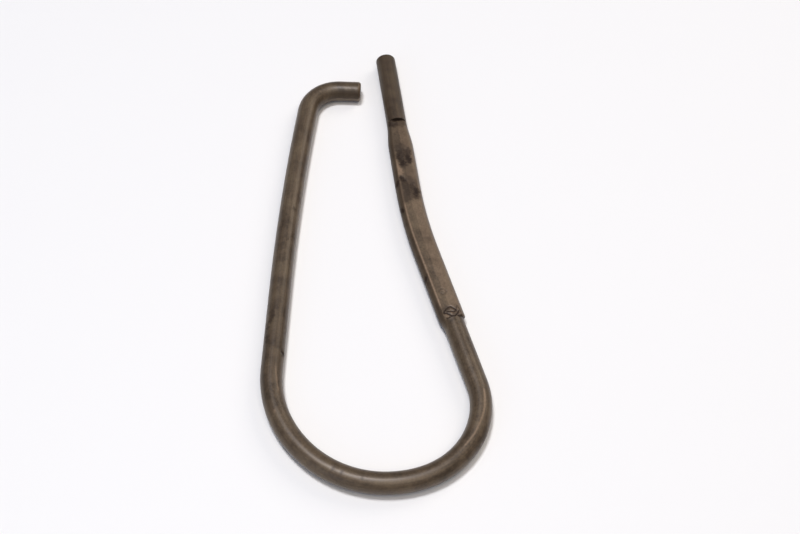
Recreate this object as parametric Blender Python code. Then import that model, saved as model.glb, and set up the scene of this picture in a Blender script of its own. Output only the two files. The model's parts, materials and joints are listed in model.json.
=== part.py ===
"""Open pear-shaped eye, bent cold from one round steel bar, lying flat. Metres, +Z up.

The bar is followed from the tip of its straight shank: down the shank, round a slight knee, down
the right leg, round the bow, up the left leg and over into a short tang that points back at the
shank. The gap between the tang and the shank is the mouth. A long stretch of the shank and the
right leg is pressed flat between two dies, which leaves it thinner and wider than the round bar.

The bar lies in the XY plane with the left leg along Y. The origin is the middle of the footprint.
"""

import math

import bmesh
import bpy
from mathutils import Vector

NAME = "open_eye"

# The round bar
BAR_DIAMETER = 0.006
END_CHAMFER = 0.0005

# The straight shank, from its tip to the knee, and the right leg below it
SHANK_LENGTH = 0.0511
KNEE_RADIUS = 0.146
KNEE_ANGLE = math.radians(9.1)
RIGHT_LEG_LENGTH = 0.0450

# The bow, which tightens towards the right leg: centreline radius and angle of each bend
BOW_RIGHT_RADIUS = 0.0224
BOW_RIGHT_ANGLE = math.radians(86.0)
BOW_FOOT_RADIUS = 0.0292
BOW_FOOT_ANGLE = math.radians(58.1)
BOW_LEFT_RADIUS = 0.0329
BOW_LEFT_ANGLE = math.radians(54.8)

# The left leg: a straight run, then a slight sweep inwards up to the bend of the tang
LEFT_LEG_LENGTH = 0.0241
SWEEP_RADIUS = 0.790
SWEEP_ANGLE = math.radians(4.9)
TANG_BEND_RADIUS = 0.0092
TANG_BEND_ANGLE = math.radians(85.7)

# The clear gap between the tang's end and the side of the shank, along the tang
MOUTH_GAP = 0.0063

# The pressed stretch
PRESS_FROM_TIP = 0.0266
PRESS_LENGTH = 0.0728
PRESS_THICKNESS = 0.0042
PRESS_FLAT_WIDTH = 0.0046
PRESS_WIDTH = 0.0074
PRESS_STEP = 0.0003  # length of bar over which the die's end forms its step

# Lengths of bar over which the pressed stretch gains its full width: slowly at the shank's end,
# more quickly on the inside of the leg, and almost at once on its outside
SWELL_AT_SHANK = 0.0095
SWELL_AT_LEG_INSIDE = 0.0046
SWELL_AT_LEG_OUTSIDE = 0.0008
SWELL_PAST_STEP = 0.0022  # how far the inside stays swollen beyond the die's end

# How finely the surface is faceted
CORNERS_PER_ARC = 8  # a section is four arcs
BEND_STEP = math.radians(5.0)
SWELL_STEPS = 6
LEAST_SPACING = 0.0001

STEEL_COLOUR = (0.105, 0.078, 0.057, 1.0)
STEEL_ROUGHNESS = 0.48
STEEL_METALLIC = 0.75


def bend(radius, angle):
    """A run of bar bent to a radius, as (length, angle). Clockwise bends have a negative angle."""
    return radius * abs(angle), angle


def runs_to_tang():
    """The straight runs and bends of the bar, from the tip to the end of the tang's bend."""
    return [
        (SHANK_LENGTH, 0.0),
        bend(KNEE_RADIUS, KNEE_ANGLE),
        (RIGHT_LEG_LENGTH, 0.0),
        bend(BOW_RIGHT_RADIUS, -BOW_RIGHT_ANGLE),
        bend(BOW_FOOT_RADIUS, -BOW_FOOT_ANGLE),
        bend(BOW_LEFT_RADIUS, -BOW_LEFT_ANGLE),
        (LEFT_LEG_LENGTH, 0.0),
        bend(SWEEP_RADIUS, -SWEEP_ANGLE),
        bend(TANG_BEND_RADIUS, -TANG_BEND_ANGLE),
    ]


def heading_at_tip():
    """The direction in which the bar leaves its tip, so that the left leg runs along +Y."""
    turned = KNEE_ANGLE - BOW_RIGHT_ANGLE - BOW_FOOT_ANGLE - BOW_LEFT_ANGLE
    return math.radians(90) - turned


def place_along(runs, station):
    """The centreline's (point, heading) at a distance from the tip."""
    point, heading = Vector((0, 0)), heading_at_tip()
    for length, angle in runs:
        part = min(station, length)
        turn = angle * part / length
        chord = part
        if turn:
            chord = 2 * length / abs(angle) * math.sin(abs(turn) / 2)
        middle = heading + turn / 2
        point += chord * Vector((math.cos(middle), math.sin(middle)))
        heading += turn
        station -= part
        if station <= 0:
            break
    return point, heading


def total_length(runs):
    return sum(length for length, _ in runs)


def tang_length():
    """The straight end of the tang, which stops short of the shank by the mouth's gap."""
    runs = runs_to_tang()
    start, heading = place_along(runs, total_length(runs))
    tang = Vector((math.cos(heading), math.sin(heading)))
    shank_normal = Vector((math.sin(heading_at_tip()), -math.cos(heading_at_tip())))
    slant = abs(tang.dot(shank_normal))
    to_shank_axis = abs(start.dot(shank_normal)) / slant
    return to_shank_axis - BAR_DIAMETER / 2 / slant - MOUTH_GAP


def press_end():
    return PRESS_FROM_TIP + PRESS_LENGTH


def press_share(station):
    """0 where the bar is round and 1 between the dies, with a steep step at each end."""
    from_start = station - PRESS_FROM_TIP
    to_end = press_end() - station
    return max(0.0, min(1.0, from_start / PRESS_STEP, to_end / PRESS_STEP))


def reach_of_side(station, swell_at_leg, swell_end):
    """How far a side stands from the axis: the squeezed steel spreads, smoothly from either end."""
    from_start = (station - PRESS_FROM_TIP) / SWELL_AT_SHANK
    to_end = (swell_end - station) / swell_at_leg
    share = max(0.0, min(1.0, from_start, to_end))
    eased = share * share * (3 - 2 * share)
    return (BAR_DIAMETER + (PRESS_WIDTH - BAR_DIAMETER) * eased) / 2


def arc_points(start, end, rise):
    """Evenly spaced points of an arc that rises to the right of the line from start to end."""
    chord = end - start
    outward = Vector((chord.y, -chord.x)).normalized()
    half = chord.length / 2
    if rise < LEAST_SPACING:
        return [start.lerp(end, i / CORNERS_PER_ARC) for i in range(CORNERS_PER_ARC)]
    radius = (half * half + rise * rise) / (2 * rise)
    centre = (start + end) / 2 + outward * (rise - radius)
    half_angle = math.atan2(half, radius - rise)
    points = []
    for i in range(CORNERS_PER_ARC):
        angle = half_angle * (2 * i / CORNERS_PER_ARC - 1)
        points.append(
            centre
            + radius * math.cos(angle) * outward
            + radius * math.sin(angle) * chord.normalized()
        )
    return points


def section(station, length):
    """The outline at a station, as (across, up) points: the inside, the top, the outside, below."""
    share = press_share(station)
    radius = BAR_DIAMETER / 2
    round_corner = radius * math.sqrt(0.5)
    round_rise = radius - round_corner
    half_flat = round_corner + share * (PRESS_FLAT_WIDTH / 2 - round_corner)
    half_height = round_corner + share * (PRESS_THICKNESS / 2 - round_corner)
    crown = round_rise * (1 - share)
    inside_end = press_end() + SWELL_PAST_STEP
    inside = reach_of_side(station, SWELL_AT_LEG_INSIDE, inside_end) - half_flat
    outside = reach_of_side(station, SWELL_AT_LEG_OUTSIDE, press_end()) - half_flat
    corners = [
        Vector((half_flat, -half_height)),
        Vector((half_flat, half_height)),
        Vector((-half_flat, half_height)),
        Vector((-half_flat, -half_height)),
    ]
    from_end = min(station, length - station)
    scale = 1 - max(0.0, END_CHAMFER - from_end) / radius
    outline = []
    for i, rise in enumerate((inside, crown, outside, crown)):
        outline += arc_points(corners[i], corners[(i + 1) % 4], rise)
    return [point * scale for point in outline]


def stations_along(runs):
    """Where the surface gets a ring of corners: round the bends, and where the section changes."""
    length = total_length(runs)
    marks = [0.0, END_CHAMFER, length - END_CHAMFER, length]
    marks += [PRESS_FROM_TIP, PRESS_FROM_TIP + PRESS_STEP, press_end() - PRESS_STEP, press_end()]
    marks.append(press_end() - SWELL_AT_LEG_OUTSIDE)
    for i in range(SWELL_STEPS + 1):
        marks.append(PRESS_FROM_TIP + SWELL_AT_SHANK * i / SWELL_STEPS)
        marks.append(press_end() + SWELL_PAST_STEP - SWELL_AT_LEG_INSIDE * i / SWELL_STEPS)
    start = 0.0
    for run_length, angle in runs:
        steps = math.ceil(abs(angle) / BEND_STEP)
        marks += [start + run_length * i / steps for i in range(steps + 1) if steps]
        start += run_length
    kept = []
    for mark in sorted(marks):
        if not kept or mark - kept[-1] > LEAST_SPACING:
            kept.append(mark)
    return kept


def ring_at(runs, station, length):
    """The section's corners in place, standing square to the bar."""
    point, heading = place_along(runs, station)
    across = Vector((math.sin(heading), -math.cos(heading)))
    ring = []
    for offset, up in section(station, length):
        flat = point + across * offset
        ring.append(Vector((flat.x, flat.y, BAR_DIAMETER / 2 + up)))
    return ring


def extrude_bar(runs):
    """The solid bar, drawn out of the face at its tip one ring at a time."""
    length = total_length(runs)
    rings = [ring_at(runs, station, length) for station in stations_along(runs)]
    bm = bmesh.new()
    end_face = bm.faces.new([bm.verts.new(corner) for corner in rings[0]])
    for ring in rings[1:]:
        region = [end_face, *end_face.edges]
        made = bmesh.ops.extrude_face_region(bm, geom=region)
        end_face = next(g for g in made["geom"] if isinstance(g, bmesh.types.BMFace))
        for vertex, corner in zip(end_face.verts, ring):
            vertex.co = corner
    bmesh.ops.recalc_face_normals(bm, faces=bm.faces)
    return bm


def centre_on_footprint(bm):
    """Moves the bar so that the origin is the middle of the area it covers."""
    for axis in range(2):
        places = [vertex.co[axis] for vertex in bm.verts]
        middle = (min(places) + max(places)) / 2
        for vertex in bm.verts:
            vertex.co[axis] -= middle


def browned_steel():
    material = bpy.data.materials.new("browned_steel")
    material.use_nodes = True
    shader = material.node_tree.nodes["Principled BSDF"]
    shader.inputs["Base Color"].default_value = STEEL_COLOUR
    shader.inputs["Roughness"].default_value = STEEL_ROUGHNESS
    shader.inputs["Metallic"].default_value = STEEL_METALLIC
    return material


def clear_scene():
    for old in list(bpy.data.objects):
        bpy.data.objects.remove(old, do_unlink=True)


def main():
    clear_scene()
    collection = bpy.data.collections.new(NAME)
    bpy.context.scene.collection.children.link(collection)
    runs = runs_to_tang() + [(tang_length(), 0.0)]
    bm = extrude_bar(runs)
    centre_on_footprint(bm)
    mesh = bpy.data.meshes.new("bent_bar")
    bm.to_mesh(mesh)
    bm.free()
    mesh.materials.append(browned_steel())
    mesh.shade_smooth()
    mesh.set_sharp_from_angle(angle=math.radians(20))
    collection.objects.link(bpy.data.objects.new("bent_bar", mesh))


if __name__ == "__main__":
    main()
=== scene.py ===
"""Looks for the open bar eye: one browned steel bar, pressed flat on one leg and bent by hand.

The bar is made straight first, as its maker had it: a round blank, its ends broken, one stretch
pressed between two dies, the dies' and the pliers' marks dented in. Then it is bent along the
eye's centreline. Lengths are metres. A station is a distance along the bar from the shank's tip.
"""

from __future__ import annotations

import json
import logging
import math
from dataclasses import dataclass, field
from enum import Enum

import bmesh
import bpy
import numpy as np
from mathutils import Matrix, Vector

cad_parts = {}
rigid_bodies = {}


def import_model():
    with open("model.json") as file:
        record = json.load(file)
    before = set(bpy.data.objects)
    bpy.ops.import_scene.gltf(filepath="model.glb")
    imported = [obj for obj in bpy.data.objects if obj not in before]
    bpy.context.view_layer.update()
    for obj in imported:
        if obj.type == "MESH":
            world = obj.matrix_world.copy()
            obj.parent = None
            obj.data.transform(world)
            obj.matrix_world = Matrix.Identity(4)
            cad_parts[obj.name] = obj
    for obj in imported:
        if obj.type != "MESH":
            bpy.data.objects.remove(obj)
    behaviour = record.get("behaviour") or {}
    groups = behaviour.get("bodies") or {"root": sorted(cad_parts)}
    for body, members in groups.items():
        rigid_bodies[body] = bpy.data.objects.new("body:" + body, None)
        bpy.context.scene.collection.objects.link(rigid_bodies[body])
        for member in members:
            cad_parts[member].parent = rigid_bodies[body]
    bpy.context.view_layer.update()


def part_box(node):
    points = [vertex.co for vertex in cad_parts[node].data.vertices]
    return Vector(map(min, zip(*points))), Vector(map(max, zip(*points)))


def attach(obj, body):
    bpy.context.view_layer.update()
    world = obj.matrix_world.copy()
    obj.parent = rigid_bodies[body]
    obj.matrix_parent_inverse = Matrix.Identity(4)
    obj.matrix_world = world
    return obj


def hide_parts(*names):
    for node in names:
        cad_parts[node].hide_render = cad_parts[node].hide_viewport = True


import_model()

LOG = logging.getLogger("open_bar_eye")
MM = 0.001
SAME_PLACE = 1e-6  # metres, less than this apart is the same place
FAR_OFF = 1.0  # metres, further than any mark reaches

# Attributes that the bar's points carry into its material
STRAIGHT = "straight"  # the point's place while the bar was still straight
STAIN_AND_SHADE = "stain_and_shade"  # 0 clean, 1 the thickest, darkest oxide; painted shade uses it too
RUB_AND_HIGHLIGHT = "rub_and_highlight"  # 0 untouched, 1 rubbed bright; painted highlights use it too


def linear(colour: str) -> tuple[float, float, float, float]:
    """Turns an sRGB hex colour into the linear RGBA that shaders take.

    Args:
        colour: six hex digits after a #.

    Returns:
        The linear red, green, blue and an alpha of 1.
    """
    shares = [int(colour[i : i + 2], 16) / 255 for i in (1, 3, 5)]
    parts = [c / 12.92 if c <= 0.04045 else ((c + 0.055) / 1.055) ** 2.4 for c in shares]
    return (*parts, 1.0)


def add_node(
    tree: bpy.types.NodeTree, kind: str, inputs: dict | None = None, **settings: object
) -> bpy.types.Node:
    """Adds a node, with its settings, values and links.

    Args:
        tree: the node tree.
        kind: the node's type name.
        inputs: for each input, by name or number, a value, an output socket, or a node, which
            stands for its first output.
        **settings: the node's own properties.

    Returns:
        The new node.
    """
    node = tree.nodes.new(kind)
    for name, value in settings.items():
        setattr(node, name, value)
    for key, value in (inputs or {}).items():
        if isinstance(value, bpy.types.Node):
            value = value.outputs[0]
        if isinstance(value, bpy.types.NodeSocket):
            tree.links.new(value, node.inputs[key])
        else:
            node.inputs[key].default_value = value
    return node


def deselect_all() -> None:
    """Deselects every object, because operators act on all that is selected."""
    for item in bpy.context.scene.objects:
        item.select_set(False)


def choose(item: bpy.types.Object) -> None:
    """Makes one object the only selected one and the active one.

    Args:
        item: the object to work on.
    """
    deselect_all()
    item.select_set(True)
    bpy.context.view_layer.objects.active = item


def select_points(item: bpy.types.Object, chosen: np.ndarray, mode: str = "VERT") -> None:
    """Enters edit mode with just these points selected, and what lies between them.

    Args:
        item: the mesh object.
        chosen: for each vertex, whether it is selected.
        mode: the select mode to work in, VERT, EDGE or FACE.
    """
    choose(item)
    bpy.ops.object.mode_set(mode="EDIT")
    bpy.ops.mesh.select_mode(type="VERT")
    bpy.ops.mesh.select_all(action="DESELECT")
    edited = bmesh.from_edit_mesh(item.data)
    edited.verts.ensure_lookup_table()
    for index in np.flatnonzero(chosen):
        edited.verts[index].select_set(True)
    edited.select_flush(True)
    bmesh.update_edit_mesh(item.data)
    if mode != "VERT":
        bpy.ops.mesh.select_mode(type=mode)


def end_edit() -> None:
    """Leaves edit mode."""
    bpy.ops.object.mode_set(mode="OBJECT")


def places(item: bpy.types.Object) -> np.ndarray:
    """The places of a mesh object's vertices.

    Args:
        item: the mesh object, in object mode.

    Returns:
        One row of x, y, z for each vertex.
    """
    flat = np.zeros(len(item.data.vertices) * 3)
    item.data.vertices.foreach_get("co", flat)
    return flat.reshape(-1, 3)


def weigh(item: bpy.types.Object, name: str, weights: np.ndarray) -> None:
    """Adds a vertex group, which a modifier can be limited to.

    Args:
        item: the mesh object, in object mode.
        name: the group's name.
        weights: each vertex's weight. Those of 0 are left out.
    """
    group = item.vertex_groups.new(name=name)
    for index in np.flatnonzero(weights > 0):
        group.add([int(index)], float(weights[index]), "REPLACE")


def eased(share: np.ndarray) -> np.ndarray:
    """Holds shares between 0 and 1, and gives them a smooth start and end."""
    held = np.clip(share, 0, 1)
    return held * held * (3 - 2 * held)


def distances(spots: np.ndarray, line: list[np.ndarray]) -> np.ndarray:
    """How far places are from a line through points, in plan or in space.

    Args:
        spots: the places, one to a row.
        line: the points that the line joins.

    Returns:
        Each place's distance from the nearest stretch of the line.
    """
    nearest = np.full(len(spots), np.inf)
    for start, end in zip(line, line[1:]):
        along = end - start
        offset = spots - start
        share = np.clip(offset @ along / (along @ along), 0, 1)
        nearest = np.minimum(nearest, np.linalg.norm(offset - share[:, None] * along, axis=1))
    return nearest


@dataclass(frozen=True)
class Run:
    """A stretch of the bar's centreline, straight or bent to a radius."""

    length: float
    turn: float = 0.0  # radians, to the left as the bar is followed

    @classmethod
    def bent(cls, radius: float, degrees: float) -> Run:
        """A bend to a radius through an angle, to the left where the angle is positive."""
        return cls(radius * math.radians(abs(degrees)), math.radians(degrees))

    def step(self, start: Vector, heading: float, travelled: float) -> tuple[Vector, float]:
        """Follows the run for a distance.

        Args:
            start: where the run begins.
            heading: the direction there, in radians from +X.
            travelled: how far to go.

        Returns:
            The place and the heading there.
        """
        turned = self.turn * travelled / self.length
        chord = travelled
        if turned:
            chord = 2 * travelled / abs(turned) * math.sin(abs(turned) / 2)
        middle = heading + turned / 2
        return start + chord * Vector((math.cos(middle), math.sin(middle), 0)), heading + turned


@dataclass
class Centreline:
    """The eye's centreline in plan, from the shank's tip to the tang's end.

    A bend is its radius and its angle in degrees.
    """

    shank: float = 51.1 * MM
    knee: tuple[float, float] = (146 * MM, 9.1)
    right_leg: float = 45.0 * MM
    bow: tuple[tuple[float, float], ...] = (
        (22.4 * MM, 86.0),
        (29.2 * MM, 58.1),
        (32.9 * MM, 54.8),
    )
    left_leg: float = 24.1 * MM
    sweep: tuple[float, float] = (790 * MM, 4.9)
    tang_bend: tuple[float, float] = (9.2 * MM, 85.7)
    tang: float = 6.425 * MM

    def runs(self) -> list[Run]:
        """Lists the straight runs and bends in order.

        Returns:
            The runs, from the shank's tip to the tang's end.
        """
        bends = [Run.bent(radius, -degrees) for radius, degrees in self.bow]
        return [
            Run(self.shank),
            Run.bent(*self.knee),
            Run(self.right_leg),
            *bends,
            Run(self.left_leg),
            Run.bent(self.sweep[0], -self.sweep[1]),
            Run.bent(self.tang_bend[0], -self.tang_bend[1]),
            Run(self.tang),
        ]

    def length(self) -> float:
        """The bar's developed length."""
        return sum(run.length for run in self.runs())

    def first_heading(self) -> float:
        """The direction at the tip, so that the left leg's straight run lies along +Y."""
        turned = self.knee[1] - sum(degrees for _, degrees in self.bow)
        return math.radians(90 - turned)

    def points(self, spacing: float) -> list[Vector]:
        """Evenly spaced points along the centreline, starting at the origin.

        Args:
            spacing: about how far apart the points are.

        Returns:
            The points, first and last included.
        """
        total = self.length()
        count = round(total / spacing)
        found = []
        for number in range(count + 1):
            left = total * number / count
            place, heading = Vector((0, 0, 0)), self.first_heading()
            for run in self.runs():
                part = min(left, run.length)
                place, heading = run.step(place, heading, part)
                left -= part
                if left <= 0:
                    break
            found.append(place)
        return found


class Tool(Enum):
    """What left a mark on the bar."""

    DIE_TOOTH = "a groove from a tooth of the die"
    GRIT = "a shallow pit from grit between the dies"
    DIE_EDGE = "the bite of the die's edge"
    PLIERS = "a nick or scar from the pliers' jaws"


@dataclass(frozen=True)
class Mark:
    """A dent along a line of points.

    Each point is a station and a distance across the bar, towards the inside of the eye.
    """

    tool: Tool
    line: tuple[tuple[float, float], ...]  # millimetres
    depth: float  # metres
    reach: float  # metres, how far to each side the steel is pushed in


@dataclass(frozen=True)
class Patch:
    """A patch on the bar's skin, round in the straight bar's own plan."""

    station: float  # millimetres
    across: float  # millimetres, towards the inside
    length: float  # millimetres, half of it along the bar
    width: float  # millimetres, half of it across
    strength: float = 1.0


@dataclass(frozen=True)
class HighlightLine:
    """A fine painted highlight line along points, each a station and a distance across."""

    line: tuple[tuple[float, float], ...]  # millimetres
    width: float  # metres, to each side
    strength: float


@dataclass(frozen=True)
class Pattern:
    """A noise with features of a real size."""

    size_mm: float
    layers: float  # how many finer layers it has
    fineness: float  # how strong the finer layers are

    def inputs(self, place: bpy.types.NodeSocket | bpy.types.Node) -> dict:
        """The values of a Noise node that is read at a place, in metres."""
        scale = 1 / (self.size_mm * MM)
        return {"Vector": place, "Scale": scale, "Detail": self.layers, "Roughness": self.fineness}


@dataclass(frozen=True)
class BrownedSteel:
    """Mild steel bar, drawn and browned by heat and oil.

    Its oxide film gives a dull brown with a soft sheen, nearly black and dry where scale has
    stayed on, and paler where edges and tool marks have been rubbed. The same dark colour is
    also painted on as shade, and the same pale colour as highlights.
    """

    thin_oxide: str = "#5F4E38"
    oxide: str = "#564531"
    thick_oxide: str = "#453624"
    # also the colour of painted shade
    scale: str = "#25170A"
    # also the colour of painted highlights
    rubbed_and_highlight: str = "#866D54"
    roughness: tuple[float, float] = (0.38, 0.52)  # where the film is thick, and where it is thin
    scale_roughness: float = 0.72
    metallic: float = 0.25
    gleam: float = 0.25  # oxide throws back less than clean steel
    oil: float = 0.42  # a wiped-on film of oil, which gives the highlights no colour
    oil_roughness: float = 0.38
    mottle: Pattern = Pattern(5.0, 5.0, 0.62)  # clouds of thicker and thinner oxide
    grain: Pattern = Pattern(0.55, 3.0, 0.6)  # the film's etched grain, drawn coarse to show
    die_lines: Pattern = Pattern(0.4, 2.0, 0.5)  # from the drawing die, drawn coarse to show
    die_line_stretch: float = 0.03  # they run along the bar
    film_reach: tuple[float, float] = (0.34, 0.66)  # the mottle that is all thick, and all thin
    line_share: float = 0.4  # of the drawing lines in the fine detail, the rest being grain
    detail_reach: tuple[float, float] = (0.3, 0.7)  # where nearly all its values lie
    cloud_reach: tuple[float, float] = (0.35, 0.65)
    grain_reach: tuple[float, float] = (0.25, 0.75)
    tone: tuple[float, float] = (0.64, 1.36)  # how far grain and lines darken and lighten
    rub_and_highlight_raggedness: float = 0.4
    scale_and_shade_raggedness: float = 0.3
    bump: float = 26e-6  # metres

    def build(self) -> bpy.types.Material:
        """Makes the material.

        Returns:
            The material, which reads the bar's own attributes.
        """
        # Drawing leaves faint lines along the bar, browning a mottled film that dulls its shine
        material = bpy.data.materials.new("browned_drawn_steel")
        material.use_nodes = True
        tree = material.node_tree
        shader = tree.nodes["Principled BSDF"]
        shader.inputs["Specular IOR Level"].default_value = self.gleam
        shader.inputs["Coat Roughness"].default_value = self.oil_roughness
        lie = add_node(tree, "ShaderNodeAttribute", attribute_name=STRAIGHT).outputs["Vector"]
        stain_and_shade = add_node(tree, "ShaderNodeAttribute", attribute_name=STAIN_AND_SHADE).outputs["Fac"]
        rub_and_highlight = add_node(tree, "ShaderNodeAttribute", attribute_name=RUB_AND_HIGHLIGHT).outputs["Fac"]

        stretched = {0: lie, 1: (self.die_line_stretch, 1.0, 1.0)}
        drawn = add_node(tree, "ShaderNodeVectorMath", stretched, operation="MULTIPLY")
        mottle = add_node(tree, "ShaderNodeTexNoise", self.mottle.inputs(lie))
        grain = add_node(tree, "ShaderNodeTexNoise", self.grain.inputs(lie))
        lines = add_node(tree, "ShaderNodeTexNoise", self.die_lines.inputs(drawn))

        film = add_node(tree, "ShaderNodeValToRGB", {"Fac": mottle})
        thick, thin = film.color_ramp.elements
        thick.position, thick.color = self.film_reach[0], linear(self.thick_oxide)
        thin.position, thin.color = self.film_reach[1], linear(self.thin_oxide)
        film.color_ramp.elements.new(0.5).color = linear(self.oxide)
        fine = {"Factor": self.line_share, "A": grain, "B": lines}
        detail = add_node(tree, "ShaderNodeMix", fine)
        tone = add_node(
            tree,
            "ShaderNodeMapRange",
            {
                "Value": detail,
                "From Min": self.detail_reach[0],
                "From Max": self.detail_reach[1],
                "To Min": self.tone[0],
                "To Max": self.tone[1],
            },
        )
        # A Mix node set to colours takes its share at 0 and its colours at 6 and 7, and gives at 2
        toned = add_node(
            tree,
            "ShaderNodeMix",
            {0: 1.0, 6: film, 7: tone},
            data_type="RGBA",
            blend_type="MULTIPLY",
        ).outputs[2]
        # Rubbed steel and painted highlights lighten the colour, then oxide scale and painted
        # shade darken it
        with_rub_and_highlight = self.cover(tree, toned, self.rubbed_and_highlight, rub_and_highlight, grain, self.rub_and_highlight_raggedness)
        final = self.cover(tree, with_rub_and_highlight, self.scale, stain_and_shade, grain, self.scale_and_shade_raggedness)
        tree.links.new(final, shader.inputs["Base Color"])

        cloud = add_node(tree, "ShaderNodeMix", {"Factor": 0.5, "A": mottle, "B": grain})
        clean = add_node(
            tree,
            "ShaderNodeMapRange",
            {
                "Value": cloud,
                "From Min": self.cloud_reach[0],
                "From Max": self.cloud_reach[1],
                "To Min": self.roughness[0],
                "To Max": self.roughness[1],
            },
        )
        for name, bare, scaled in (
            ("Roughness", clean, self.scale_roughness),
            ("Metallic", self.metallic, 0.0),
            ("Coat Weight", self.oil, 0.0),
        ):
            share = add_node(tree, "ShaderNodeMix", {"Factor": stain_and_shade, "A": bare, "B": scaled})
            tree.links.new(share.outputs[0], shader.inputs[name])
        relief = {"Strength": 1.0, "Distance": self.bump, "Height": detail}
        bump = add_node(tree, "ShaderNodeBump", relief)
        tree.links.new(bump.outputs[0], shader.inputs["Normal"])
        return material

    def cover(
        self,
        tree: bpy.types.NodeTree,
        under: bpy.types.NodeSocket,
        colour: str,
        amount: bpy.types.NodeSocket,
        grain: bpy.types.Node,
        raggedness: float,
    ) -> bpy.types.NodeSocket:
        """Lays a colour over another, with an edge that the grain makes ragged.

        Args:
            tree: the material's node tree.
            under: the colour below.
            colour: the colour on top.
            amount: how much of it there is, from 0 to 1.
            grain: the noise that breaks its edge.
            raggedness: how much the grain shifts the edge.

        Returns:
            The covered colour.
        """
        shift = add_node(
            tree,
            "ShaderNodeMapRange",
            {
                "Value": grain,
                "From Min": self.grain_reach[0],
                "From Max": self.grain_reach[1],
                "To Min": 1 - raggedness,
                "To Max": 1 + raggedness,
            },
        )
        parts = {0: amount, 1: shift}
        held = add_node(tree, "ShaderNodeMath", parts, operation="MULTIPLY", use_clamp=True)
        layers = {0: held, 6: under, 7: linear(colour)}
        return add_node(tree, "ShaderNodeMix", layers, data_type="RGBA").outputs[2]


@dataclass(frozen=True)
class Unevenness:
    """A layer of unevenness, pressed or worn into the bar."""

    name: str
    size: float  # metres, of its features
    depth: float  # metres
    group: str = ""  # the vertex group that it is limited to


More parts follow.
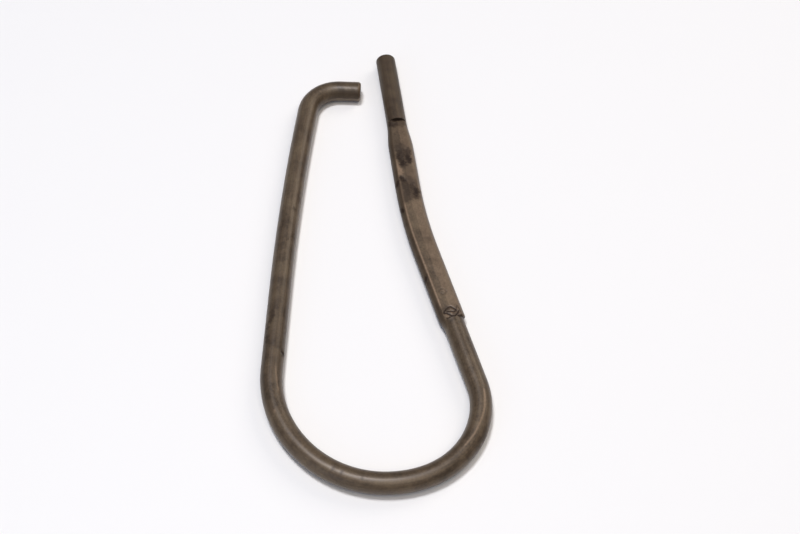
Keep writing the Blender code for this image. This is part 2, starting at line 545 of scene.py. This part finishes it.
@dataclass
class BentBar:
    """The whole object: one round bar, pressed along one stretch and bent into an open eye."""

    path: Centreline = field(default_factory=Centreline)
    steel: BrownedSteel = field(default_factory=BrownedSteel)
    diameter: float = 6.0 * MM
    corners: int = 96
    ring_spacing: float = 0.6 * MM
    first_rings: int = 12  # the bar is first cut this much more coarsely
    tip_rounding: float = 0.5 * MM
    tang_rounding: float = 0.8 * MM
    rounding_steps: int = 4
    end_rings: int = 4  # rings of faces set into each end
    sharp_angle: float = 35.0  # degrees, an edge that turns more stays sharp
    press_start: float = 26.6 * MM
    press_end: float = 99.4 * MM
    press_thickness: float = 4.2 * MM
    press_width: float = 7.4 * MM
    flat_width: float = 4.6 * MM
    swell_at_shank: float = 9.5 * MM
    swell_at_leg_inside: float = 4.6 * MM
    swell_past_step: float = 2.2 * MM
    swell_at_leg_outside: float = 0.8 * MM
    step_margin: float = 0.7 * MM  # the rings are finer this far to each side of a step
    step_rings: int = 5  # and this much finer
    fine_flats: tuple[tuple[float, float, int], ...] = (  # from, to, extra cuts
        (94.6 * MM, 98.6 * MM, 2),
        (88.8 * MM, 91.4 * MM, 1),
    )
    uneven: tuple[Unevenness, ...] = (
        Unevenness("waves", 7.0 * MM, 0.05 * MM),
        Unevenness("skin", 1.4 * MM, 0.03 * MM),
        Unevenness("die_print", 2.6 * MM, 0.07 * MM, "flats"),
    )
    marks: tuple[Mark, ...] = (
        # The step's wall and the bite below it: the marks' darkening here is painted shade and
        # shadow as well as oxide
        Mark(Tool.DIE_EDGE, ((26.75, 0.9), (26.7, -0.7), (26.75, -2.2)), 0.14 * MM, 0.42 * MM),
        Mark(
            Tool.DIE_EDGE,
            ((28.0, 2.2), (28.1, 0.7), (28.1, -0.7), (27.9, -2.2)),
            0.08 * MM,
            1.20 * MM,
        ),
        Mark(Tool.GRIT, ((38.2, 1.0), (40.5, 1.2), (42.8, 0.6)), 0.12 * MM, 1.10 * MM),
        Mark(Tool.GRIT, ((38.6, -1.2), (40.6, -1.6), (42.8, -1.2)), 0.10 * MM, 1.00 * MM),
        Mark(Tool.GRIT, ((48.4, 1.5), (49.4, 1.0), (50.2, 0.3)), 0.12 * MM, 0.90 * MM),
        Mark(Tool.GRIT, ((51.6, -1.2), (53.5, -1.6), (55.6, -1.9)), 0.12 * MM, 1.10 * MM),
        Mark(Tool.GRIT, ((50.2, 2.9), (50.9, 3.0)), 0.16 * MM, 0.60 * MM),
        Mark(Tool.GRIT, ((59.8, 2.9), (60.5, 3.0)), 0.18 * MM, 0.60 * MM),
        Mark(Tool.GRIT, ((83.2, 1.3), (83.8, 0.9), (83.4, 0.5)), 0.05 * MM, 0.30 * MM),
        Mark(Tool.GRIT, ((84.9, -1.0), (85.0, -2.1)), 0.04 * MM, 0.30 * MM),
        Mark(Tool.GRIT, ((84.0, 3.0), (84.6, 3.1)), 0.14 * MM, 0.50 * MM),
        Mark(Tool.GRIT, ((84.6, 3.1), (88.0, 3.15), (92.0, 3.2)), 0.05 * MM, 0.30 * MM),
        Mark(
            Tool.GRIT,
            ((90.0, 1.2), (89.5, 0.8), (89.2, 0.2), (89.4, -0.3)),
            0.06 * MM,
            0.30 * MM,
        ),
        Mark(
            Tool.GRIT,
            ((90.5, 0.7), (91.0, 0.4), (91.1, -0.2), (90.5, -0.8), (89.9, -0.8)),
            0.06 * MM,
            0.32 * MM,
        ),
        Mark(Tool.GRIT, ((90.0, 0.4), (90.3, 0.0)), 0.04 * MM, 0.25 * MM),
        Mark(Tool.GRIT, ((92.5, 1.5), (92.9, 1.1)), 0.04 * MM, 0.25 * MM),
        Mark(
            Tool.DIE_TOOTH,
            (
                (97.0, 2.0),
                (96.5, 1.6),
                (95.9, 0.9),
                (95.5, 0.2),
                (95.5, -0.4),
                (96.1, -0.9),
                (96.8, -1.5),
            ),
            0.15 * MM,
            0.36 * MM,
        ),
        Mark(
            Tool.DIE_TOOTH,
            ((96.8, 1.0), (96.9, 0.0), (97.3, -0.7), (97.2, -1.5)),
            0.14 * MM,
            0.32 * MM,
        ),
        Mark(
            Tool.DIE_TOOTH,
            (
                (97.0, 2.0),
                (97.3, 1.2),
                (97.8, 0.7),
                (98.4, 0.1),
                (98.6, -0.8),
                (98.1, -1.6),
                (97.4, -2.1),
            ),
            0.16 * MM,
            0.36 * MM,
        ),
        Mark(Tool.DIE_TOOTH, ((96.8, -1.5), (96.2, -2.0), (95.6, -2.2)), 0.10 * MM, 0.28 * MM),
        Mark(Tool.DIE_TOOTH, ((96.4, -2.4), (97.0, -2.5), (97.7, -2.6)), 0.08 * MM, 0.28 * MM),
        Mark(
            Tool.DIE_EDGE,
            ((99.0, 1.6), (98.9, 1.0), (98.8, 0.2), (98.8, -0.6)),
            0.24 * MM,
            0.42 * MM,
        ),
        Mark(Tool.DIE_EDGE, ((98.8, -1.6), (99.0, -2.2), (99.2, -2.6)), 0.20 * MM, 0.42 * MM),
        Mark(Tool.PLIERS, ((169.3, 2.4), (169.2, 0.8), (169.4, -0.9)), 0.04 * MM, 0.30 * MM),
        Mark(Tool.PLIERS, ((170.3, 1.6), (170.0, 0.3)), 0.03 * MM, 0.30 * MM),
        Mark(Tool.PLIERS, ((174.9, -0.2), (174.7, -1.1)), 0.05 * MM, 0.45 * MM),
        Mark(Tool.PLIERS, ((177.0, 0.1), (177.2, -0.9)), 0.05 * MM, 0.50 * MM),
        Mark(
            Tool.PLIERS,
            ((222.2, -2.0), (220.9, -1.3), (219.9, 0.0), (219.7, 1.6)),
            0.05 * MM,
            0.40 * MM,
        ),
        Mark(Tool.PLIERS, ((218.5, 2.4), (218.8, 2.7)), 0.26 * MM, 0.60 * MM),
        Mark(Tool.PLIERS, ((230.4, -1.1), (228.2, -1.0)), 0.05 * MM, 0.90 * MM),
        Mark(Tool.PLIERS, ((255.2, 0.7), (255.7, 0.5)), 0.05 * MM, 0.35 * MM),
        Mark(Tool.PLIERS, ((265.9, 1.5), (266.1, 1.2)), 0.06 * MM, 0.35 * MM),
    )
    scale_and_shade_patches: tuple[Patch, ...] = (
        Patch(9.0, 0.0, 18.0, 9.0, 0.42),
        # The next three are painted shadow that the step's wall casts onto the flats, over oxide
        # kept there
        Patch(27.1, 1.7, 0.5, 1.2, 0.7),
        Patch(28.0, 1.3, 0.9, 2.0, 0.85),
        Patch(28.0, 0.4, 1.3, 3.4, 0.65),
        Patch(35.6, 1.6, 1.6, 0.7, 0.35),
        Patch(37.0, 0.6, 1.3, 1.7, 0.6),
        Patch(38.9, 1.3, 1.9, 0.8, 0.75),
        Patch(40.9, 1.2, 1.9, 0.8, 0.95),
        Patch(42.9, 0.6, 1.8, 1.0, 1.0),
        Patch(44.0, 0.0, 1.2, 0.9, 0.9),
        Patch(39.4, -1.5, 2.2, 1.0, 0.85),
        Patch(41.8, -1.4, 2.2, 1.0, 1.0),
        Patch(40.6, -0.2, 4.4, 1.9, 0.78),
        Patch(45.6, -0.9, 3.0, 1.4, 0.4),
        Patch(49.4, 1.4, 1.4, 1.1, 0.95),
        Patch(50.5, 3.1, 1.2, 0.8, 0.95),
        Patch(49.8, -0.4, 1.9, 1.4, 0.6),
        Patch(52.2, -1.2, 2.4, 1.0, 0.8),
        Patch(53.2, 0.2, 3.4, 1.9, 0.7),
        Patch(54.6, -1.8, 2.0, 1.1, 1.0),
        Patch(56.3, -1.5, 1.1, 1.4, 0.65),
        Patch(60.2, 3.2, 0.9, 0.8, 0.9),
        Patch(63.5, 1.0, 1.2, 0.8, 0.22),
        Patch(72.0, -1.4, 1.1, 0.9, 0.28),
        Patch(84.3, 3.2, 1.0, 0.7, 0.8),
        Patch(96.0, 0.7, 0.7, 1.2, 0.5),
        Patch(96.7, -1.6, 1.0, 0.7, 0.45),
        Patch(98.3, -0.8, 0.6, 1.3, 0.5),
        Patch(97.0, 0.0, 1.7, 2.1, 0.3),
        Patch(98.9, 1.3, 0.4, 0.8, 1.0),
        Patch(99.0, -2.0, 0.5, 0.8, 0.85),
        Patch(135.5, -2.4, 3.4, 0.6, 0.6),
        Patch(141.5, -1.9, 1.4, 0.5, 0.4),
        Patch(148.0, -2.2, 1.3, 0.4, 0.3),
        Patch(218.7, 2.8, 0.8, 0.6, 1.0),
        Patch(227.0, 0.0, 16.0, 9.0, 0.16),
        # Painted shade on the tang's inner side, which is turned away from the light
        Patch(322.0, 2.6, 7.0, 1.3, 0.5),
        Patch(222.2, -2.0, 1.3, 0.5, 0.7),
        Patch(225.9, -2.2, 1.5, 0.5, 0.7),
        Patch(226.0, 2.8, 1.6, 0.4, 0.4),
        Patch(228.8, -1.2, 2.0, 0.7, 0.75),
        Patch(230.6, -0.9, 1.1, 0.6, 0.6),
        Patch(233.6, -0.5, 0.9, 0.5, 0.3),
        Patch(255.3, 0.6, 0.4, 0.3, 0.5),
        Patch(256.8, 2.3, 1.5, 0.4, 0.4),
        Patch(264.0, -0.3, 0.6, 0.4, 0.3),
        Patch(266.0, 1.4, 0.4, 0.4, 0.6),
        Patch(270.5, 2.3, 2.4, 0.4, 0.35),
    )
    # Mostly painted highlights: crease, die ridges, bow speck; the crease is also rubbed
    rub_and_highlight_patches: tuple[Patch, ...] = (
        Patch(45.6, 1.7, 2.6, 0.6, 0.95),
        Patch(53.0, 2.0, 2.0, 0.3, 0.6),
        Patch(59.2, 0.9, 0.5, 1.2, 0.3),
        Patch(96.4, -0.1, 0.4, 0.6, 0.8),
        Patch(97.6, 0.0, 0.35, 0.6, 0.8),
        Patch(96.5, -2.3, 0.35, 0.35, 0.8),
        Patch(98.0, 1.6, 0.4, 0.4, 0.6),
        Patch(199.8, -1.2, 0.8, 0.4, 0.4),
    )
    # Painted highlight lines along the bow's right corner and near its left end
    highlight_lines: tuple[HighlightLine, ...] = (
        HighlightLine(
            ((123.0, -0.95), (128.0, -0.85), (133.0, -0.45), (137.0, -0.2), (140.4, 0.1)),
            0.28 * MM,
            0.7,
        ),
        HighlightLine(((206.0, 1.7), (209.5, 1.6), (213.4, 1.3)), 0.25 * MM, 0.5),
    )
    bite_edge: float = 57.5 * MM  # where the dies' second bite ends
    bite_slant: float = 0.45  # how far along it runs for each metre across
    bite_stain: float = 0.6
    bite_fade: tuple[float, float] = (10 * MM, 4 * MM)  # the stain's length, and its fade
    # Painted shade on the pressed stretch's inner side, which is turned away from the light
    wall_shade: float = 0.38
    # Rubbing, with painted light on flats and shoulder and painted highlight on creases
    flat_rub_and_light: float = 0.10
    shoulder_light: float = 0.40
    crease_rub_and_highlight: tuple[float, float] = (0.8, 0.4)  # inside, outside
    crease_reach: float = 0.36 * MM
    rim_rub: float = 0.4

    def build(self) -> bpy.types.Object:
        """Makes the bar straight, presses and marks it, and bends it into place.

        Returns:
            The finished bar, its place in its mesh.
        """
        bar = self.blank()
        self.divide(bar)
        self.press(bar)
        for mark in self.marks:
            self.dent(bar, mark)
        for tool in Tool:
            LOG.info("%d times %s", sum(mark.tool is tool for mark in self.marks), tool.value)
        self.roughen(bar)
        self.note_lie(bar)
        self.bend(bar)
        self.shade(bar)
        bar.data.materials.append(self.steel.build())
        return bar

    def blank(self) -> bpy.types.Object:
        """A plain round bar along +X with its two ends broken, one more than the other.

        Returns:
            The blank.
        """
        length = self.path.length()
        deselect_all()
        bpy.ops.mesh.primitive_cylinder_add(
            vertices=self.corners,
            radius=self.diameter / 2,
            depth=length,
            end_fill_type="NGON",
            location=(length / 2, 0, 0),
            rotation=(0, math.radians(90), 0),
        )
        bar = bpy.context.object
        bar.name = "browned_bar"
        bar.data.name = "browned_bar"
        bpy.ops.object.transform_apply(location=True, rotation=True, scale=True)
        for station, rounding in ((0.0, self.tip_rounding), (length, self.tang_rounding)):
            at_end = np.abs(places(bar)[:, 0] - station) < self.ring_spacing / 10
            select_points(bar, at_end, "FACE")
            bpy.ops.mesh.bevel(offset=rounding, segments=self.rounding_steps, affect="EDGES")
            end_edit()
        for station in (0.0, length):
            at_end = np.abs(places(bar)[:, 0] - station) < SAME_PLACE
            select_points(bar, at_end, "FACE")
            for _ in range(self.end_rings):
                bpy.ops.mesh.inset(thickness=self.diameter / 12)
            end_edit()
        return bar

    def divide(self, bar: bpy.types.Object) -> None:
        """Cuts the bar into rings, finer at the dies' steps, and its marked flats finer still.

        Args:
            bar: the blank.
        """
        length = self.path.length()
        self.cut_rings(bar, 0.0, length, self.ring_spacing * self.first_rings)
        self.cut_rings(bar, 0.0, length, self.ring_spacing)
        for step in (self.press_start, self.press_end):
            start, end = step - self.step_margin, step + self.step_margin
            self.cut_rings(bar, start, end, self.ring_spacing / self.step_rings)
        for start, end, cuts in self.fine_flats:
            station, _, height = places(bar).T
            marked = (station > start) & (station < end) & (height > 0.3 * self.diameter)
            select_points(bar, marked, "FACE")
            bpy.ops.mesh.subdivide(number_cuts=cuts)
            end_edit()

    def cut_rings(self, bar: bpy.types.Object, start: float, end: float, spacing: float) -> None:
        """Subdivides the edges along the bar between two stations.

        Args:
            bar: the bar, still straight.
            start: the first station.
            end: the last station.
            spacing: about how far apart the rings end up.
        """
        choose(bar)
        bpy.ops.object.mode_set(mode="EDIT")
        bpy.ops.mesh.select_mode(type="EDGE")
        bpy.ops.mesh.select_all(action="DESELECT")
        edited = bmesh.from_edit_mesh(bar.data)
        longest = 0.0
        for edge in edited.edges:
            first, second = (corner.co for corner in edge.verts)
            run = abs(first.x - second.x)
            middle = (first.x + second.x) / 2
            lengthwise = (first.yz - second.yz).length < SAME_PLACE
            too_long = run > 1.3 * spacing
            if lengthwise and too_long and start - run / 2 < middle < end + run / 2:
                edge.select_set(True)
                longest = max(longest, run)
        bmesh.update_edit_mesh(bar.data)
        if longest:
            bpy.ops.mesh.subdivide(number_cuts=max(1, round(longest / spacing) - 1))
        end_edit()

    def press(self, bar: bpy.types.Object) -> None:
        """Presses one stretch: its sides swell, and its top and underside go flat.

        Args:
            bar: the bar, still straight.
        """
        radius = self.diameter / 2
        half_height = self.press_thickness / 2
        for name, side in (("swollen_outside", 1), ("swollen_inside", -1)):
            spots = places(bar)
            weights = self.swelling(spots) * np.clip(side * spots[:, 1] / radius, 0, 1)
            weigh(bar, name, weights)
            modifier = bar.modifiers.new(name, "DISPLACE")
            modifier.direction = "Y"
            modifier.mid_level = 0.0
            modifier.strength = side * (self.press_width / 2 - radius)
            modifier.vertex_group = name
            choose(bar)
            bpy.ops.object.modifier_apply(modifier=name)
        station = places(bar)[:, 0]
        pressed = (station > self.press_start) & (station < self.press_end)
        select_points(bar, pressed)
        bpy.ops.transform.resize(value=(1, 1, self.oval() / radius), center_override=(0, 0, 0))
        end_edit()
        for side in (1, -1):
            proud = pressed & (places(bar)[:, 2] * side > half_height)
            select_points(bar, proud)
            bpy.ops.transform.resize(value=(1, 1, 0), center_override=(0, 0, side * half_height))
            end_edit()

    def oval(self) -> float:
        """Half the height that the pressed section would have if its flats weren't there."""
        return self.press_thickness / 2 / math.sqrt(1 - (self.flat_width / self.press_width) ** 2)

    def swelling(self, spots: np.ndarray) -> np.ndarray:
        """How far along the bar's sides have swollen, slowly from the shank, quickly from the leg.

        Args:
            spots: the points of the straight bar.

        Returns:
            Values from 0, as round as the bar, to 1, the pressed stretch's full width.
        """
        station = spots[:, 0]
        from_shank = (station - self.press_start) / self.swell_at_shank
        inside_end = self.press_end + self.swell_past_step
        inside = eased(np.minimum(from_shank, (inside_end - station) / self.swell_at_leg_inside))
        to_step = (self.press_end - station) / self.swell_at_leg_outside
        outside = eased(np.minimum(from_shank, to_step))
        return np.where(spots[:, 1] < 0, inside, outside)

    def skin(self, station: float, across: float) -> tuple[Vector, Vector]:
        """The upper skin of the straight bar.

        Args:
            station: metres from the tip.
            across: metres from the axis, towards the inside of the eye.

        Returns:
            The place on the skin, and the direction into the steel there.
        """
        radius = self.diameter / 2
        if self.press_start < station < self.press_end:
            if abs(across) <= self.flat_width / 2:
                return Vector((station, -across, self.press_thickness / 2)), Vector((0, 0, -1))
            share = min(abs(across) / (self.press_width / 2), 0.98)
            height = self.oval() * math.sqrt(1 - share * share)
        else:
            share = min(abs(across) / radius, 0.98)
            height = radius * math.sqrt(1 - share * share)
        place = Vector((station, -across, height))
        return place, -Vector((0, -across, height)).normalized()

    def dent(self, bar: bpy.types.Object, mark: Mark) -> None:
        """Pushes a mark into the skin.

        Args:
            bar: the pressed bar, still straight.
            mark: the mark.
        """
        line = [self.skin(station * MM, across * MM) for station, across in mark.line]
        nearest = distances(places(bar), [np.array(place) for place, _ in line])
        # The middle of the mark sinks whole, and holds at least the point nearest the line
        core = max(0.35 * mark.reach, 1.02 * nearest.min())
        select_points(bar, nearest < core)
        inward = sum((way for _, way in line), Vector()).normalized()
        bpy.ops.transform.translate(
            value=inward * mark.depth,
            use_proportional_edit=True,
            proportional_edit_falloff="SMOOTH",
            proportional_size=mark.reach,
        )
        end_edit()

    def roughen(self, bar: bpy.types.Object) -> None:
        """Takes the perfection out of the skin: it waves slightly and is finely uneven.

        Args:
            bar: the marked bar, still straight.
        """
        spots = places(bar)
        inner = (spots[:, 0] > self.press_start) & (spots[:, 0] < self.press_end)
        flat = inner & (np.abs(np.abs(spots[:, 2]) - self.press_thickness / 2) < 0.2 * MM)
        weigh(bar, "flats", flat.astype(float))
        for layer in self.uneven:
            texture = bpy.data.textures.new(layer.name, "CLOUDS")
            texture.noise_scale = layer.size
            texture.noise_depth = 2
            modifier = bar.modifiers.new(layer.name, "DISPLACE")
            modifier.texture = texture
            modifier.texture_coords = "LOCAL"
            modifier.mid_level = 1.0  # it only takes steel away
            modifier.strength = layer.depth
            modifier.vertex_group = layer.group
            choose(bar)
            bpy.ops.object.modifier_apply(modifier=layer.name)

    def note_lie(self, bar: bpy.types.Object) -> None:
        """Keeps each point's place on the straight bar, its oxide and painted shade, and its
        rubbing and painted highlights.

        Args:
            bar: the finished bar, still straight.
        """
        spots = places(bar)
        lie = bar.data.attributes.new(STRAIGHT, "FLOAT_VECTOR", "POINT")
        lie.data.foreach_set("vector", spots.astype(np.float32).ravel())
        stain_and_shade = np.maximum(self.patched(spots, self.scale_and_shade_patches), self.marked(spots))
        stain_and_shade = np.maximum(stain_and_shade, np.maximum(self.first_bite(spots), self.inner_wall_shade(spots)))
        self.write(bar, STAIN_AND_SHADE, stain_and_shade)
        rub_and_highlight = np.maximum(self.patched(spots, self.rub_and_highlight_patches), self.edge_rub_and_highlight(spots))
        rub_and_highlight = np.maximum(rub_and_highlight, self.on_highlight_lines(spots))
        self.write(bar, RUB_AND_HIGHLIGHT, rub_and_highlight)

    def write(self, bar: bpy.types.Object, name: str, values: np.ndarray) -> None:
        """Stores one value for each point, as an attribute that the material reads."""
        attribute = bar.data.attributes.new(name, "FLOAT", "POINT")
        attribute.data.foreach_set("value", values.astype(np.float32))

    def patched(self, spots: np.ndarray, patches: tuple[Patch, ...]) -> np.ndarray:
        """How much of a set of patches lies on each point of the upper skin.

        Args:
            spots: the points of the straight bar.
            patches: the patches.

        Returns:
            Values from 0 to 1.
        """
        amount = np.zeros(len(spots))
        wandered = self.wandered(spots)
        for patch in patches:
            along = (wandered[:, 0] / MM - patch.station) / patch.length
            across = (-wandered[:, 1] / MM - patch.across) / patch.width
            near = 1.5 - np.hypot(along, across)
            reached = (spots[:, 2] > 0) | (patch.width * MM > self.diameter)
            amount = np.maximum(amount, patch.strength * eased(near) * reached)
        return amount

    def wandered(self, spots: np.ndarray) -> np.ndarray:
        """Shifts points by waves of a few millimetres, so that patches don't end in smooth ovals.

        Args:
            spots: the points of the straight bar.

        Returns:
            The shifted points.
        """
        moved = spots.copy()
        station, across = spots[:, 0] / MM, spots[:, 1] / MM
        # Two waves each way, of lengths and slants that don't fall into step
        along = np.sin(2.3 * across + 0.9 * station) + np.sin(3.7 * station - 2.9 * across)
        sideways = np.sin(1.7 * station + 1.1) + np.sin(4.3 * station + 3.1 * across)
        moved[:, 0] += 0.26 * MM * along
        moved[:, 1] += 0.22 * MM * sideways
        return moved

    def marked(self, spots: np.ndarray) -> np.ndarray:
        """How much oxide has stayed in the marks; at the step's wall it stands for painted shade
        too.

        Args:
            spots: the points of the straight bar.

        Returns:
            Values from 0 to 1.
        """
        amount = np.zeros(len(spots))
        for mark in self.marks:
            strength = min(1.0, mark.depth / (0.14 * MM))
            near = eased(1.2 - self.from_line(spots, mark.line) / min(mark.reach, 0.45 * MM))
            amount = np.maximum(amount, strength * near)
        return amount

    def on_highlight_lines(self, spots: np.ndarray) -> np.ndarray:
        """How much of the painted highlight lines lies on each point.

        Args:
            spots: the points of the straight bar.

        Returns:
            Values from 0 to 1.
        """
        amount = np.zeros(len(spots))
        for highlight_line in self.highlight_lines:
            near = eased(1.3 - self.from_line(spots, highlight_line.line) / highlight_line.width)
            amount = np.maximum(amount, highlight_line.strength * near)
        return amount

    def from_line(self, spots: np.ndarray, line: tuple[tuple[float, float], ...]) -> np.ndarray:
        """How far the points of the upper skin are, in plan, from a line of points.

        Args:
            spots: the points of the straight bar.
            line: the line's points, each a station and a distance across in millimetres.

        Returns:
            The distances in metres, which are large on the lower skin.
        """
        plan = np.stack((spots[:, 0], -spots[:, 1]), axis=1)
        nearest = distances(plan, [np.array(point) * MM for point in line])
        return np.where(spots[:, 2] > 0, nearest, FAR_OFF)

    def first_bite(self, spots: np.ndarray) -> np.ndarray:
        """The flats up to the slanting edge of the dies' second bite kept a little more oxide.

        Args:
            spots: the points of the straight bar.

        Returns:
            Values from 0 to 1.
        """
        length, fade = self.bite_fade
        to_edge = self.bite_edge - self.bite_slant * spots[:, 1] - spots[:, 0]
        before = eased(to_edge / (0.5 * MM))
        after = eased((spots[:, 0] - self.bite_edge + length) / fade)
        on_top = spots[:, 2] > self.press_thickness / 2 - 0.3 * MM
        return self.bite_stain * before * after * on_top

    def inner_wall_shade(self, spots: np.ndarray) -> np.ndarray:
        """Painted shade on the pressed stretch's inner side, which is turned away from the light.

        Args:
            spots: the points of the straight bar.

        Returns:
            Values from 0 to 1.
        """
        fade = 3 * MM
        from_start = spots[:, 0] - self.press_start
        into_press = np.minimum(from_start, self.press_end + fade - spots[:, 0])
        below_flat = self.press_thickness / 2 - np.abs(spots[:, 2])
        side = (spots[:, 1] < -self.flat_width / 2) & (below_flat > 0.1 * MM)
        return self.wall_shade * side * eased(into_press / fade)

    def edge_rub_and_highlight(self, spots: np.ndarray) -> np.ndarray:
        """How much the flats, their outer shoulder and long edges, and the cut ends are lightened:
        rubbing, with painted light on the flats and shoulder and painted highlight on the creases.

        Args:
            spots: the points of the straight bar.

        Returns:
            Values from 0 to 1.
        """
        station, sideways, height = spots.T
        below_flat = self.press_thickness / 2 - np.abs(height)
        inset = 0.2 * MM
        pressed = (station > self.press_start + inset) & (station < self.press_end - inset)
        # The flats: the dies' rubbing and painted light
        flat = self.flat_rub_and_light * pressed * eased(1.3 - below_flat / (0.3 * MM))
        outer_top = pressed * (sideways > 0) * (height > 0)
        # Painted light: the outer shoulder lightened where it turns towards the light
        painted_shoulder_light = self.shoulder_light * outer_top * eased(1.3 - below_flat / (1.2 * MM))
        from_crease = np.abs(np.abs(sideways) - self.flat_width / 2 + 0.1 * MM)
        along = eased((station - self.press_start - 12 * MM) / (6 * MM))
        along *= eased((self.press_end - 3 * MM - station) / (3 * MM))
        # The creases: rubbing and painted highlight
        side = np.where(sideways < 0, *self.crease_rub_and_highlight) * (below_flat < 0.35 * MM)
        crease_wear_and_highlight = side * along * eased(1.3 - from_crease / self.crease_reach)
        from_end = self.path.length() - station
        at_rim = np.hypot(sideways, height) > 0.3 * self.diameter
        rim = self.rim_rub * at_rim * eased(1.5 - from_end / (0.5 * MM))
        return np.maximum.reduce((flat, painted_shoulder_light, crease_wear_and_highlight, rim))

    def bend(self, bar: bpy.types.Object) -> None:
        """Bends the straight bar along the centreline and lays it where the CAD bar lies.

        Args:
            bar: the straight bar.
        """
        points = self.path.points(0.5 * MM)
        low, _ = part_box("bent_bar")
        radius = self.diameter / 2
        left, foot = min(point.x for point in points), min(point.y for point in points)
        shift = Vector((low.x + radius - left, low.y + radius - foot, radius))
        guide_curve = bpy.data.curves.new("centreline", "CURVE")
        guide_curve.dimensions = "3D"
        spline = guide_curve.splines.new("POLY")
        spline.points.add(len(points) - 1)
        for knot, point in zip(spline.points, points):
            knot.co = (*point, 1.0)
        guide = bpy.data.objects.new("centreline", guide_curve)
        bpy.context.scene.collection.objects.link(guide)
        modifier = bar.modifiers.new("bend", "CURVE")
        modifier.object = guide
        modifier.deform_axis = "POS_X"
        choose(bar)
        bpy.ops.object.modifier_apply(modifier="bend")
        bpy.data.objects.remove(guide, do_unlink=True)
        bar.location = shift
        bpy.ops.object.transform_apply(location=True, rotation=True, scale=True)

    def shade(self, bar: bpy.types.Object) -> None:
        """Makes the normals point out and shades the bar smooth, but for its sharp steps.

        Args:
            bar: the bent bar.
        """
        choose(bar)
        bpy.ops.object.mode_set(mode="EDIT")
        bpy.ops.mesh.select_all(action="SELECT")
        bpy.ops.mesh.normals_make_consistent(inside=False)
        end_edit()
        bpy.ops.object.shade_smooth_by_angle(angle=math.radians(self.sharp_angle))


@dataclass(frozen=True)
class PaleFloor:
    """Matt white painted board: it bounces soft light up under the bar."""

    colour: str = "#EDE8E1"
    roughness: float = 0.6
    size: float = 6.0

    def build(self) -> bpy.types.Object:
        """Makes the floor at the height that the bar lies on.

        Returns:
            The floor.
        """
        deselect_all()
        bpy.ops.mesh.primitive_plane_add(size=self.size)
        floor = bpy.context.object
        floor.name = "pale_floor"
        # Rolled-on matt paint scatters the light evenly, so the board shows no reflection
        material = bpy.data.materials.new("matt_white_board")
        material.use_nodes = True
        shader = material.node_tree.nodes["Principled BSDF"]
        shader.inputs["Base Color"].default_value = linear(self.colour)
        shader.inputs["Roughness"].default_value = self.roughness
        floor.data.materials.append(material)
        return floor


@dataclass(frozen=True)
class SoftLight:
    """A square studio light, aimed at the object."""

    name: str
    towards: tuple[float, float, float]
    distance: float
    size: float
    power: float
    colour: str

    def build(self) -> bpy.types.Object:
        """Makes the light.

        Returns:
            The light, facing the object.
        """
        lamp = bpy.data.lights.new(self.name, "AREA")
        lamp.shape = "SQUARE"
        lamp.size = self.size
        lamp.energy = self.power
        lamp.color = linear(self.colour)[:3]
        light = bpy.data.objects.new(self.name, lamp)
        way = Vector(self.towards).normalized()
        light.location = way * self.distance
        light.rotation_euler = way.to_track_quat("Z", "Y").to_euler()
        bpy.context.scene.collection.objects.link(light)
        return light


@dataclass
class Studio:
    """Floor, lights and camera: bright, soft light from overhead and from behind on the right."""

    floor: PaleFloor = field(default_factory=PaleFloor)
    lights: tuple[SoftLight, ...] = (
        SoftLight("overhead", (-0.14, 0.06, 0.98), 1.2, 0.24, 10.4, "#EFF3FC"),
        SoftLight("from_camera", (0.12, -0.38, 0.92), 1.4, 0.90, 7.4, "#FFF5E8"),
        SoftLight("window", (-0.62, -0.68, 0.38), 1.4, 0.90, 2.3, "#BDD4FB"),
        SoftLight("behind_right", (0.56, 0.56, 0.61), 1.2, 0.60, 3.6, "#FFF7EB"),
    )
    sky: str = "#98C2FF"
    sky_strength: float = 0.19
    camera_place: tuple[float, float, float] = (0.01317, -0.22958, 0.32454)
    camera_down: float = 55.0  # degrees below the horizon
    camera_turn: float = 2.06  # degrees to the left of straight ahead
    lens: float = 63.0  # millimetres
    sensor: float = 36.0  # millimetres wide

    def build(self) -> None:
        """Sets up the stage around the object."""
        self.floor.build()
        for light in self.lights:
            light.build()
        world = bpy.data.worlds.new("studio_air")
        world.use_nodes = True
        background = world.node_tree.nodes["Background"]
        background.inputs["Color"].default_value = linear(self.sky)
        background.inputs["Strength"].default_value = self.sky_strength
        scene = bpy.context.scene
        scene.world = world
        scene.view_settings.view_transform = "Standard"
        camera = bpy.data.objects.new("camera", bpy.data.cameras.new("camera"))
        camera.data.lens = self.lens
        camera.data.sensor_width = self.sensor
        camera.location = self.camera_place
        tilt, turn = math.radians(90 - self.camera_down), math.radians(self.camera_turn)
        camera.rotation_euler = (tilt, 0, turn)
        scene.collection.objects.link(camera)
        scene.camera = camera


def corners(box: tuple[Vector, Vector]) -> list[list[float]]:
    """A box's two corners as plain lists of numbers."""
    return [[float(value) for value in corner] for corner in box]


def main() -> None:
    """Builds the bar and the studio around it."""
    logging.basicConfig(level=logging.INFO, format="%(name)s: %(message)s")
    bar = BentBar().build()
    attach(bar, "root")
    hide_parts("bent_bar")
    LOG.info("%s: %d points, %d faces", bar.name, len(bar.data.vertices), len(bar.data.polygons))
    Studio().build()
    LOG.info("studio: floor, lights and camera")


if __name__ == "__main__":
    main()
